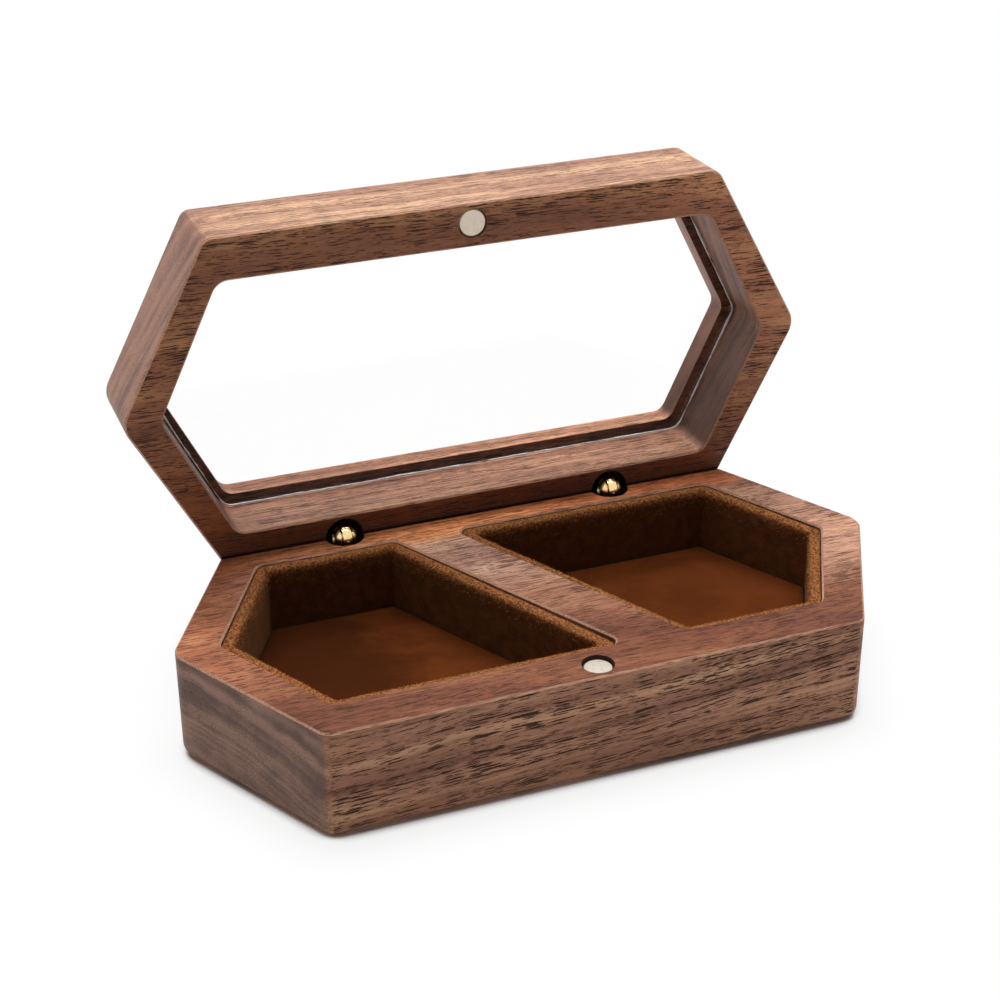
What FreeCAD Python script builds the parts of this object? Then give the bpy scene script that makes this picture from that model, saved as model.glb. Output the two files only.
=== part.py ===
"""Two-pocket hexagon ring box: walnut base with lined pockets and a hinged lid with a window.

The origin is the centre of the base's underside, +X points to the right, +Y to the hinge side and
+Z up. Lengths are millimetres and angles are degrees. The lid stands open, on its stop.
"""

import FreeCAD
import Part
import Sketcher
import math
import os

SIZES = {
    # Outline of base and lid, seen from above
    "half_length": 60.0,
    "half_depth": 29.5,
    "side_run_share": 0.535,
    "base_height": 18.8,
    "lid_height": 17.1,
    "corner_radius": 2.2,
    "point_radius": 4.0,
    "outer_round": 2.0,
    "edge_break": 0.3,
    # Hinge side: both back edges are bevelled, and the bevels meet when the lid is fully open
    "open_angle": 92.0,
    "seam_inset": 3.4,
    "seam_gap": 0.1,
    "bevel_relief_angle": 0.3,
    # Pockets of the base
    "rail_width": 7.7,
    "end_wall_width": 7.5,
    "divider_width": 9.2,
    "floor_thickness": 5.8,
    "pocket_radius": 1.6,
    # Lining of the pockets
    "lining_thickness": 2.0,
    "lining_drop": 0.3,
    "lining_round": 0.8,
    "lining_fit": 0.1,
    "card_thickness": 1.0,
    "suede_thickness": 1.0,
    # Rebate, pane and window of the lid
    "rebate_rail_width": 7.4,
    "rebate_end_width": 6.5,
    "rebate_run_share": 0.49,
    "rebate_radius": 3.0,
    "pane_inset": 10.4,
    "pane_thickness": 2.0,
    "pane_fit": 0.2,
    "ledge_width": 1.6,
    "window_radius": 2.5,
    "window_bevel": 0.6,
    "bead_fit": 0.05,
    "bead_width": 0.8,
    "bead_height": 0.7,
    "bead_slope": 0.5,
    # Magnets
    "magnet_inset": 3.4,
    "magnet_diameter": 4.9,
    "magnet_thickness": 3.0,
    "magnet_fit": 0.1,
    "magnet_break": 0.3,
    "base_magnet_sink": 0.6,
    "lid_magnet_sink": 0.2,
    # Barrel hinges
    "hinge_spacing": 48.8,
    "mouth_diameter": 6.6,
    "mouth_depth": 3.0,
    "barrel_diameter": 5.0,
    "barrel_length": 8.5,
    "barrel_fit": 0.05,
    "barrel_break": 0.4,
    "groove_depth": 0.25,
    "groove_width": 2.4,
    "knuckle_diameter": 4.2,
    "tongue_width": 1.5,
    "tongue_gap": 0.3,
    "pin_diameter": 1.4,
    "pin_length": 3.7,
    "pin_press_fit": 0.01,
    "pin_running_fit": 0.04,
    # How far a cut reaches past the face that it leaves through
    "overrun": 2.0,
}

DERIVED = {
    "side_stretch_share": "sqrt(1 + side_run_share ^ 2)",
    "seam_y": "half_depth - seam_inset",
    "pivot_height": "base_height + seam_gap / 2",
    "bevel_angle": "open_angle / 2 + bevel_relief_angle",
    "bevel_reach": "half_depth + overrun",
    "bevel_fall": "(seam_inset + overrun) * tan(bevel_angle)",
    "lid_shift_y": "seam_y * (1 - cos(open_angle)) + seam_gap / 2 * sin(open_angle)",
    "lid_shift_z": "pivot_height + seam_y * sin(open_angle) + seam_gap / 2 * cos(open_angle)",
    "pocket_half_length": "half_length - end_wall_width",
    "pocket_half_depth": "half_depth - rail_width",
    "divider_half_run": "divider_width / 2 * side_stretch_share",
    "lining_inset": "lining_fit + lining_thickness",
    "pad_inset": "lining_inset + lining_fit",
    "lining_top": "base_height - lining_drop",
    "suede_level": "floor_thickness + card_thickness",
    "rebate_half_length": "half_length - rebate_end_width",
    "rebate_half_depth": "half_depth - rebate_rail_width",
    "rebate_stretch_share": "sqrt(1 + rebate_run_share ^ 2)",
    "rebate_depth": "pane_inset + pane_thickness",
    "bead_inset": "bead_fit + bead_width",
    "magnet_y": "magnet_inset - half_depth",
    "magnet_hole": "magnet_diameter + 2 * magnet_fit",
    "hinge_x": "hinge_spacing / 2",
    "barrel_hole": "barrel_diameter + 2 * barrel_fit",
    "barrel_radius": "barrel_diameter / 2",
    "barrel_depth": "mouth_depth + barrel_length",
    "shoulder": "seam_gap / 2 + mouth_depth",
    "barrel_end": "shoulder + barrel_length",
    "barrel_middle": "shoulder + barrel_length / 2",
    "knuckle_radius": "knuckle_diameter / 2",
    "knuckle_reach": "knuckle_radius + overrun",
    "knuckle_room": "knuckle_radius + tongue_gap",
    "tongue_half_width": "tongue_width / 2",
    "slot_half_width": "tongue_half_width + tongue_gap",
}

MATCH_SHARE = 1e-6
FULL_TURN = 360

doc = FreeCAD.newDocument("ring_box")
sheet = doc.addObject("Spreadsheet::Sheet", "Sizes")


def fill_sheet():
    """Write the driving sizes as numbers, and below them the sizes that follow from those."""
    cells = {name: str(number) for name, number in SIZES.items()}
    cells.update({name: "=" + formula for name, formula in DERIVED.items()})
    for row, (name, text) in enumerate(cells.items(), start=1):
        sheet.set("A%d" % row, name)
        sheet.set("B%d" % row, text)
        sheet.setAlias("B%d" % row, name)
    doc.recompute()


def value(formula):
    """The number that a formula stands for now."""
    return float(sheet.evalExpression(formula))


def same(one, other):
    """Whether two coordinates are the same place."""
    return abs(one - other) < MATCH_SHARE * value("Sizes.half_length")


def minus(formula):
    """The formula with its sign turned."""
    return "-(%s)" % formula


def new_body(label):
    """An empty body with the name of the piece."""
    body = doc.addObject("PartDesign::Body", label)
    body.Label = label
    return body


def new_sketch(body, name, role="XY_Plane", lift=None):
    """An empty sketch on one of the body's own planes, lifted along the plane's normal."""
    plane = next(part for part in body.Origin.OriginFeatures if part.Role == role)
    sketch = body.newObject("Sketcher::SketchObject", body.Label + "_" + name)
    sketch.AttachmentSupport = [(plane, "")]
    sketch.MapMode = "FlatFace"
    if lift:
        sketch.setExpression("AttachmentOffset.Base.z", lift)
    return sketch


def measure(sketch, kind, places, formula):
    """Add one dimension to the sketch and bind it to its formula."""
    index = sketch.addConstraint(Sketcher.Constraint(kind, *places, value(formula)))
    name = "size_%d" % index
    sketch.renameConstraint(index, name)
    sketch.setExpression("Constraints." + name, formula)


def locate(sketch, geometry, end, place):
    """Measure a point of the sketch from the origin, along both axes."""
    measure(sketch, "DistanceX", (-1, 1, geometry, end), place[0])
    measure(sketch, "DistanceY", (-1, 1, geometry, end), place[1])


def add_outline(sketch, corners):
    """A closed outline of straight lines through corners that are pairs of formulas."""
    points = [FreeCAD.Vector(value(x), value(y), 0) for x, y in corners]
    first = sketch.GeometryCount
    count = len(points)
    for index, point in enumerate(points):
        sketch.addGeometry(Part.LineSegment(point, points[(index + 1) % count]), False)
    for index, corner in enumerate(corners):
        following = first + (index + 1) % count
        sketch.addConstraint(Sketcher.Constraint("Coincident", first + index, 2, following, 1))
        locate(sketch, first + index, 1, corner)


def add_circle(sketch, centre, diameter):
    """A circle whose centre and diameter are formulas."""
    point = FreeCAD.Vector(value(centre[0]), value(centre[1]), 0)
    circle = Part.Circle(point, FreeCAD.Vector(0, 0, 1), value(diameter) / 2)
    index = sketch.addGeometry(circle, False)
    locate(sketch, index, 3, centre)
    measure(sketch, "Diameter", (index,), diameter)


def add_feature(body, kind, name, **settings):
    """A feature at the end of the body. Settings that name sizes are bound to them."""
    feature = body.newObject("PartDesign::" + kind, body.Label + "_" + name)
    for setting, content in settings.items():
        if isinstance(content, str) and "Sizes." in content:
            feature.setExpression(setting, content)
        else:
            setattr(feature, setting, content)
    body.Tip = feature
    doc.recompute()
    return feature


def add_cut(body, sketch, name, depth=None, **settings):
    """A pocket of this depth, or right through, that has to take material away."""
    before = body.Shape.Volume
    if depth:
        settings["Length"] = depth
    else:
        settings["Type"] = "ThroughAll"
    feature = add_feature(body, "Pocket", name, Profile=sketch, **settings)
    if not body.Shape.Volume < before:
        raise RuntimeError(feature.Label + " cuts nothing")
    return feature


def edges_where(feature, test):
    """The feature's edges that pass the test, as a dress-up feature takes them."""
    edges = enumerate(feature.Shape.Edges, start=1)
    return feature, ["Edge%d" % number for number, edge in edges if test(edge)]


def stands_at(edge, corners):
    """Whether an edge is upright and stands at one of these corners."""
    box = edge.BoundBox
    upright = same(box.XLength, 0) and same(box.YLength, 0)
    return upright and any(same(box.XMin, value(x)) and same(box.YMin, value(y)) for x, y in corners)


def lies_at(shape, height):
    """Whether an edge or a face lies in the level plane at this height."""
    level = value(height)
    return same(shape.BoundBox.ZMin, level) and same(shape.BoundBox.ZMax, level)


def hole_edges(feature, height):
    """The rims of the openings in the feature's level face at this height."""
    faces = [face for face in feature.Shape.Faces if lies_at(face, height)]
    wires = [wire for face in faces for wire in face.Wires if not wire.isSame(face.OuterWire)]
    rims = [rim for wire in wires for rim in wire.Edges]
    return edges_where(feature, lambda edge: any(edge.isSame(rim) for rim in rims))


def round_corners(body, feature, name, corners, radius):
    """Round the upright edges at these corners."""
    edges = edges_where(feature, lambda edge: stands_at(edge, corners))
    return add_feature(body, "Fillet", name, Base=edges, Radius=radius)


def hexagon(half_length, half_depth, run, stretch, inset):
    """Corners of an elongated hexagon that lies inside its sizes by the inset, points last."""
    point_x = "(%s - %s * %s)" % (half_length, stretch, inset)
    edge_y = "(%s - %s)" % (half_depth, inset)
    corner_x = "(%s - %s * %s)" % (point_x, run, edge_y)
    right = [(corner_x, minus(edge_y)), (point_x, "0"), (corner_x, edge_y)]
    left = [(minus(corner_x), edge_y), (minus(point_x), "0"), (minus(corner_x), minus(edge_y))]
    return right + left


def box_outline():
    """The outline that base and lid share."""
    run = ("Sizes.side_run_share", "Sizes.side_stretch_share")
    return hexagon("Sizes.half_length", "Sizes.half_depth", *run, "0")


def rebate_outline(inset):
    """The outline of the lid's rebate, moved in by the inset."""
    run = ("Sizes.rebate_run_share", "Sizes.rebate_stretch_share")
    return hexagon("Sizes.rebate_half_length", "Sizes.rebate_half_depth", *run, inset)


def pocket_outline(side, inset):
    """One pocket, moved in by the inset. Turning the left one half round gives the right one."""
    point_x = "(Sizes.pocket_half_length - Sizes.side_stretch_share * %s)" % inset
    edge_y = "(Sizes.pocket_half_depth - %s)" % inset
    lean = "Sizes.side_run_share * %s" % edge_y
    corner_x = "(%s - %s)" % (point_x, lean)
    divider_x = "(Sizes.divider_half_run + Sizes.side_stretch_share * %s)" % inset
    left = [
        (minus(corner_x), edge_y),
        (minus(point_x), "0"),
        (minus(corner_x), minus(edge_y)),
        ("%s - %s" % (lean, divider_x), minus(edge_y)),
        (minus("%s + %s" % (lean, divider_x)), edge_y),
    ]
    if side == "left":
        return left
    return [(minus(x), minus(y)) for x, y in left]


def hinge_centres():
    """Places of the two hinges, seen from above."""
    return [(minus("Sizes.hinge_x"), "Sizes.seam_y"), ("Sizes.hinge_x", "Sizes.seam_y")]


def place(body, shift_x, shift_y, shift_z, angle="0"):
    """Move the body to its place, tipped back by the angle."""
    shift = "vector(%s; %s; %s)" % (shift_x, shift_y, shift_z)
    body.setExpression("Placement", "placement(%s; rotation(vector(-1; 0; 0); %s))" % (shift, angle))


def place_on_lid(body):
    """Carry a body that is drawn from the lid's mating face to the open lid."""
    place(body, "0", "Sizes.lid_shift_y", "Sizes.lid_shift_z", "Sizes.open_angle")


def plain_block(body, height):
    """A hexagonal block with its upright corners rounded."""
    corners = box_outline()
    sketch = new_sketch(body, "outline")
    add_outline(sketch, corners)
    block = add_feature(body, "Pad", "block", Profile=sketch, Length=height)
    points = [corner for corner in corners if corner[1] == "0"]
    others = [corner for corner in corners if corner[1] != "0"]
    block = round_corners(body, block, "corners", others, "Sizes.corner_radius")
    return round_corners(body, block, "points", points, "Sizes.point_radius")


def bevel_back(body, seam, foot, beyond):
    """Cut the bevel along the back edge, from the seam line to its foot at the back face."""
    sketch = new_sketch(body, "bevel_outline", "YZ_Plane")
    reach = "Sizes.bevel_reach"
    seam_y = "Sizes.seam_y"
    add_outline(sketch, [(seam_y, seam), (reach, foot), (reach, beyond), (seam_y, beyond)])
    return add_cut(body, sketch, "bevel", SideType="Symmetric")


def bore_hinges_and_magnet(body, lift, sink, reverse):
    """Sink the stepped hinge holes and the magnet hole into the mating face."""
    steps = [("mouths", "Sizes.mouth_diameter", "Sizes.mouth_depth", hinge_centres())]
    steps.append(("barrel_holes", "Sizes.barrel_hole", "Sizes.barrel_depth", hinge_centres()))
    magnet_depth = sink + " + Sizes.magnet_thickness"
    steps.append(("magnet_hole", "Sizes.magnet_hole", magnet_depth, [("0", "Sizes.magnet_y")]))
    for name, diameter, depth, centres in steps:
        sketch = new_sketch(body, name + "_outline", lift=lift)
        for centre in centres:
            add_circle(sketch, centre, diameter)
        add_cut(body, sketch, name, depth, Reversed=reverse)


def make_base():
    """The base: one block with two pockets, bevelled along the back."""
    body = new_body("base_body")
    block = plain_block(body, "Sizes.base_height")
    underside = edges_where(block, lambda edge: lies_at(edge, "0"))
    add_feature(body, "Fillet", "underside", Base=underside, Radius="Sizes.outer_round")
    top = "Sizes.base_height"
    bevel_back(body, top, top + " - Sizes.bevel_fall", top + " + Sizes.overrun")
    sketch = new_sketch(body, "pocket_outline", lift=top)
    add_outline(sketch, pocket_outline("left", "0"))
    pocket = add_cut(body, sketch, "pocket", top + " - Sizes.floor_thickness")
    upright = next(part for part in body.Origin.OriginFeatures if part.Role == "Z_Axis")
    turn = {"Axis": (upright, [""]), "Angle": FULL_TURN, "Occurrences": 2}
    both = add_feature(body, "PolarPattern", "pockets", Originals=[pocket], **turn)
    corners = pocket_outline("left", "0") + pocket_outline("right", "0")
    both = round_corners(body, both, "pocket_corners", corners, "Sizes.pocket_radius")
    rims = edges_where(both, lambda edge: lies_at(edge, top))
    add_feature(body, "Chamfer", "rims", Base=rims, Size="Sizes.edge_break")
    bore_hinges_and_magnet(body, top, "Sizes.base_magnet_sink", False)
    return body


def make_wall_lining(side):
    """The strip of felt round a pocket's wall, with a soft inner edge at its top."""
    body = new_body(side + "_wall_lining")
    outer = pocket_outline(side, "Sizes.lining_fit")
    inner = pocket_outline(side, "Sizes.lining_inset")
    sketch = new_sketch(body, "outline", lift="Sizes.floor_thickness")
    add_outline(sketch, outer)
    add_outline(sketch, inner)
    height = "Sizes.lining_top - Sizes.floor_thickness"
    strip = add_feature(body, "Pad", "strip", Profile=sketch, Length=height)
    strip = round_corners(body, strip, "corners", outer, "Sizes.pocket_radius - Sizes.lining_fit")
    brim = hole_edges(strip, "Sizes.lining_top")
    add_feature(body, "Fillet", "brim", Base=brim, Radius="Sizes.lining_round")
    return body


def make_floor_sheet(side, name, level, thickness):
    """One sheet of a pocket's floor, cut to fit inside the wall lining."""
    body = new_body(side + "_floor_" + name)
    sketch = new_sketch(body, "outline", lift=level)
    add_outline(sketch, pocket_outline(side, "Sizes.pad_inset"))
    add_feature(body, "Pad", "sheet", Profile=sketch, Length=thickness)
    return body


def make_lid_frame():
    """The lid: one block opened to a frame, with a rebate and a ledge that carries the pane."""
    body = new_body("lid_frame")
    block = plain_block(body, "Sizes.lid_height")
    crown = edges_where(block, lambda edge: lies_at(edge, "Sizes.lid_height"))
    add_feature(body, "Fillet", "crown", Base=crown, Radius="Sizes.outer_round")
    bevel_back(body, "0", "Sizes.bevel_fall", minus("Sizes.overrun"))
    rebate = rebate_outline("0")
    sketch = new_sketch(body, "rebate_outline")
    add_outline(sketch, rebate)
    frame = add_cut(body, sketch, "rebate", "Sizes.rebate_depth", Reversed=True)
    frame = round_corners(body, frame, "rebate_corners", rebate, "Sizes.rebate_radius")
    window = rebate_outline("Sizes.ledge_width")
    sketch = new_sketch(body, "window_outline")
    add_outline(sketch, window)
    frame = add_cut(body, sketch, "window", Reversed=True)
    frame = round_corners(body, frame, "window_corners", window, "Sizes.window_radius")
    rim = hole_edges(frame, "Sizes.lid_height")
    frame = add_feature(body, "Chamfer", "window_rim", Base=rim, Size="Sizes.window_bevel")
    rims = edges_where(frame, lambda edge: lies_at(edge, "0"))
    add_feature(body, "Chamfer", "rims", Base=rims, Size="Sizes.edge_break")
    bore_hinges_and_magnet(body, "0", "Sizes.lid_magnet_sink", True)
    place_on_lid(body)
    return body


def make_pane():
    """The clear pane, laid on the ledge."""
    body = new_body("window_pane")
    corners = rebate_outline("Sizes.pane_fit")
    sketch = new_sketch(body, "outline", lift="Sizes.pane_inset")
    add_outline(sketch, corners)
    plate = add_feature(body, "Pad", "plate", Profile=sketch, Length="Sizes.pane_thickness")
    round_corners(body, plate, "corners", corners, "Sizes.rebate_radius - Sizes.pane_fit")
    place_on_lid(body)
    return body


def make_bead():
    """The bead of glue in the corner between the pane and the rebate's wall."""
    body = new_body("pane_glue_bead")
    outer = rebate_outline("Sizes.bead_fit")
    inner = rebate_outline("Sizes.bead_inset")
    level = "Sizes.pane_inset - Sizes.bead_height"
    sketch = new_sketch(body, "outline", lift=level)
    add_outline(sketch, outer)
    add_outline(sketch, inner)
    bead = add_feature(body, "Pad", "bead", Profile=sketch, Length="Sizes.bead_height")
    bead = round_corners(body, bead, "corners", outer, "Sizes.rebate_radius - Sizes.bead_fit")
    bead = round_corners(body, bead, "inner_corners", inner, "Sizes.rebate_radius - Sizes.bead_inset")
    slope = hole_edges(bead, level)
    add_feature(body, "Chamfer", "slope", Base=slope, Size="Sizes.bead_slope")
    place_on_lid(body)
    return body


def make_magnet(name, level, face):
    """A nickel disc, its edge broken on the face that shows."""
    body = new_body(name)
    sketch = new_sketch(body, "outline", lift=level)
    add_circle(sketch, ("0", "Sizes.magnet_y"), "Sizes.magnet_diameter")
    disc = add_feature(body, "Pad", "disc", Profile=sketch, Length="Sizes.magnet_thickness")
    rim = edges_where(disc, lambda edge: lies_at(edge, face))
    add_feature(body, "Chamfer", "rim", Base=rim, Size="Sizes.magnet_break")
    return body


def turn_barrel(body, way):
    """Turn a barrel with a neck and a ball round the pivot; way is the barrel's side of the pivot."""
    sketch = new_sketch(body, "profile", "XZ_Plane")
    foot = "%s * Sizes.barrel_end" % way
    shoulder = "%s * Sizes.shoulder" % way
    crown = "%s * Sizes.knuckle_radius" % minus(way)
    profile = [
        ("Sizes.knuckle_radius", "0"),
        ("Sizes.knuckle_radius", shoulder),
        ("Sizes.barrel_radius", shoulder),
        ("Sizes.barrel_radius", "%s * (Sizes.barrel_end - Sizes.barrel_break)" % way),
        ("Sizes.barrel_radius - Sizes.barrel_break", foot),
        ("0", foot),
        ("0", crown),
    ]
    points = [FreeCAD.Vector(value(x), value(y), 0) for x, y in profile]
    for start, end in zip(points, points[1:]):
        sketch.addGeometry(Part.LineSegment(start, end), False)
    for index, corner in enumerate(profile[:-1]):
        locate(sketch, index, 1, corner)
    last = len(profile) - 2
    for index in range(last):
        sketch.addConstraint(Sketcher.Constraint("Coincident", index, 2, index + 1, 1))
    middle = FreeCAD.Vector(0, 0, 0)
    ball = Part.Circle(middle, FreeCAD.Vector(0, 0, 1), value("Sizes.knuckle_radius"))
    below = value(way) < 0
    low, high = (0, math.pi / 2) if below else (-math.pi / 2, 0)
    arc = sketch.addGeometry(Part.ArcOfCircle(ball, low, high), False)
    beside, above = (1, 2) if below else (2, 1)
    sketch.addConstraint(Sketcher.Constraint("Coincident", arc, 3, -1, 1))
    sketch.addConstraint(Sketcher.Constraint("Coincident", arc, beside, 0, 1))
    sketch.addConstraint(Sketcher.Constraint("Coincident", arc, above, last, 2))
    measure(sketch, "DistanceX", (-1, 1, last, 2), "0")
    turn = {"ReferenceAxis": (sketch, ["V_Axis"]), "Angle": FULL_TURN}
    add_feature(body, "Revolution", "turning", Profile=sketch, **turn)


def groove_barrel(body, way):
    """Turn the groove into the barrel that keys it to the glue in its hole."""
    sketch = new_sketch(body, "groove_outline", "XZ_Plane")
    inner = "Sizes.barrel_radius - Sizes.groove_depth"
    outer = "Sizes.barrel_radius + Sizes.overrun"
    middle = "%s * Sizes.barrel_middle" % way
    low = middle + " - Sizes.groove_width / 2"
    high = middle + " + Sizes.groove_width / 2"
    add_outline(sketch, [(inner, low), (outer, low), (outer, high), (inner, high)])
    turn = {"ReferenceAxis": (sketch, ["V_Axis"]), "Angle": FULL_TURN}
    add_feature(body, "Groove", "groove", Profile=sketch, **turn)


def bore_pin_hole(body, fit):
    """Drill the hole for the pin through the ball."""
    sketch = new_sketch(body, "pin_hole_outline", "YZ_Plane")
    add_circle(sketch, ("0", "0"), "Sizes.pin_diameter + 2 * " + fit)
    add_cut(body, sketch, "pin_hole", SideType="Symmetric")


def make_base_barrel(side, hinge_x):
    """The barrel in the base: its ball is slotted to a fork for the lid's tongue."""
    body = new_body(side + "_hinge_base_barrel")
    turn_barrel(body, "-1")
    groove_barrel(body, "-1")
    sketch = new_sketch(body, "slot_outline", "XZ_Plane")
    half = "Sizes.slot_half_width"
    low, high = minus("Sizes.knuckle_room"), "Sizes.knuckle_reach"
    add_outline(sketch, [(minus(half), low), (half, low), (half, high), (minus(half), high)])
    add_cut(body, sketch, "slot", SideType="Symmetric")
    bore_pin_hole(body, "Sizes.pin_press_fit")
    place(body, hinge_x, "Sizes.seam_y", "Sizes.pivot_height")
    return body


def make_lid_barrel(side, hinge_x):
    """The barrel in the lid: its ball is cut down on both sides to a tongue."""
    body = new_body(side + "_hinge_lid_barrel")
    turn_barrel(body, "1")
    groove_barrel(body, "1")
    sketch = new_sketch(body, "tongue_outline", "XZ_Plane")
    low, high = minus("Sizes.knuckle_reach"), "Sizes.knuckle_room"
    near, far = "Sizes.tongue_half_width", "Sizes.knuckle_reach"
    for side_near, side_far in ((near, far), (minus(far), minus(near))):
        corners = [(side_near, low), (side_far, low), (side_far, high), (side_near, high)]
        add_outline(sketch, corners)
    add_cut(body, sketch, "tongue", SideType="Symmetric")
    bore_pin_hole(body, "Sizes.pin_running_fit")
    place(body, hinge_x, "Sizes.seam_y", "Sizes.pivot_height", "Sizes.open_angle")
    return body


def make_pin(side, hinge_x):
    """The pin that the lid turns on, held in the fork."""
    body = new_body(side + "_hinge_pin")
    sketch = new_sketch(body, "outline", "YZ_Plane")
    add_circle(sketch, ("0", "0"), "Sizes.pin_diameter")
    add_feature(body, "Pad", "rod", Profile=sketch, Length="Sizes.pin_length", SideType="Symmetric")
    place(body, hinge_x, "Sizes.seam_y", "Sizes.pivot_height")
    return body


def make_pieces():
    """Every piece of the box."""
    pieces = [make_base(), make_lid_frame(), make_pane(), make_bead()]
    base_face = "Sizes.base_height - Sizes.base_magnet_sink"
    pieces.append(make_magnet("base_magnet", base_face + " - Sizes.magnet_thickness", base_face))
    lid_magnet = make_magnet("lid_magnet", "Sizes.lid_magnet_sink", "Sizes.lid_magnet_sink")
    place_on_lid(lid_magnet)
    pieces.append(lid_magnet)
    for side, hinge_x in (("left", minus("Sizes.hinge_x")), ("right", "Sizes.hinge_x")):
        pieces.append(make_wall_lining(side))
        pieces.append(make_floor_sheet(side, "card", "Sizes.floor_thickness", "Sizes.card_thickness"))
        pieces.append(make_floor_sheet(side, "suede", "Sizes.suede_level", "Sizes.suede_thickness"))
        pieces.append(make_base_barrel(side, hinge_x))
        pieces.append(make_lid_barrel(side, hinge_x))
        pieces.append(make_pin(side, hinge_x))
    doc.recompute()
    return pieces


def check(pieces):
    """Stop unless every object of the document is sound and every piece is one valid solid."""
    failed = [thing.Label for thing in doc.Objects if {"Invalid", "Error"} & set(thing.State)]
    if failed:
        raise RuntimeError("failed: " + ", ".join(failed))
    for piece in pieces:
        shape = piece.Shape
        if shape.isNull() or not shape.isValid() or len(shape.Solids) != 1:
            raise RuntimeError("%s is not one valid solid" % piece.Label)


def write(pieces):
    """Write each piece to a file with its name."""
    os.makedirs("parts", exist_ok=True)
    for piece in pieces:
        piece.Shape.exportStep(os.path.join("parts", piece.Label + ".step"))


fill_sheet()
all_pieces = make_pieces()
check(all_pieces)
write(all_pieces)
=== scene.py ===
import math
import random

import bpy
from mathutils import Matrix, Vector, noise


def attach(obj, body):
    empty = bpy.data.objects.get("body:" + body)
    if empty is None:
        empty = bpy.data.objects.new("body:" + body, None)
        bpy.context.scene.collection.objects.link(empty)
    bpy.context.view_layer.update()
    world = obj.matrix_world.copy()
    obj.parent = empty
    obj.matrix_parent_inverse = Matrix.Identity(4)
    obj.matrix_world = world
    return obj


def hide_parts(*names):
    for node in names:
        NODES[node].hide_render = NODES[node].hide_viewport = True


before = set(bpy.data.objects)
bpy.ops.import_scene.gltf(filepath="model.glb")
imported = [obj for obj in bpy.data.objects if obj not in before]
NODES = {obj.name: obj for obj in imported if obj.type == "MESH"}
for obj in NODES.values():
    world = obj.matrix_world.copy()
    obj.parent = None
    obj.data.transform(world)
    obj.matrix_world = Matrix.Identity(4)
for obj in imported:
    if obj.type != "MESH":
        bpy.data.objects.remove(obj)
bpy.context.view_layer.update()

MM = 0.001
PER_MM = 1 / MM
SIDES = ("left", "right")
WHITE = (1, 1, 1, 1)

# Camera of the photograph: place and clipping in metres, angles in degrees,
# lens and square sensor in millimetres
CAMERA_PLACE = (-0.10516, -0.26441, 0.18571)
CAMERA_AZIMUTH, CAMERA_ELEVATION, CAMERA_ROLL = -20.5505, 28.0483, -0.2798
CAMERA_LENS, CAMERA_SENSOR = 72.873, 36.0
CAMERA_CLIP = (0.01, 20.0)

# Base and pockets, in millimetres; slanted ends and divider go SIDE_RUN along X for 1 along Y
BASE_HALF_LENGTH, BASE_HALF_DEPTH = 60.0, 29.5
POCKET_HALF_LENGTH, POCKET_HALF_DEPTH = 52.5, 21.8
SIDE_RUN = 0.535
SIDE_STRETCH = math.hypot(1, SIDE_RUN)
DIVIDER_HALF_WIDTH = 4.6
DIVIDER_HALF_RUN = DIVIDER_HALF_WIDTH * SIDE_STRETCH

# The lid's rebate, which holds the pane, in millimetres; the pane's level counts from the
# lid's mating face
REBATE_HALF_LENGTH, REBATE_HALF_DEPTH = 53.5, 22.1
REBATE_RUN = 0.49
REBATE_STRETCH = math.hypot(1, REBATE_RUN)
PANE_LEVEL = 10.4

# The open lid: its turn in degrees, and where its centre comes to lie in millimetres
LID_ANGLE = 92.0
LID_SHIFT = (0.0, 27.061, 44.932)
LID_TURN = Matrix.Rotation(math.radians(LID_ANGLE), 4, (-1, 0, 0))
OPEN_LID = Matrix.Translation(Vector(LID_SHIFT)) @ LID_TURN

# Hinge and magnet holes, in millimetres; LID_HINGE_Z is the level of the open lid's holes
HINGE_X, HINGE_Y, PIVOT_Z, LID_HINGE_Z = 24.4, 26.1, 18.85, 18.8
MAGNET_Y = -26.1
MOUTH_RADIUS, MAGNET_RADIUS = 3.3, 2.55


# ---------------------------------------------------------------- node trees

# The span that a noise mostly keeps to
NOISE_SPAN = (0.3, 0.7)


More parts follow.
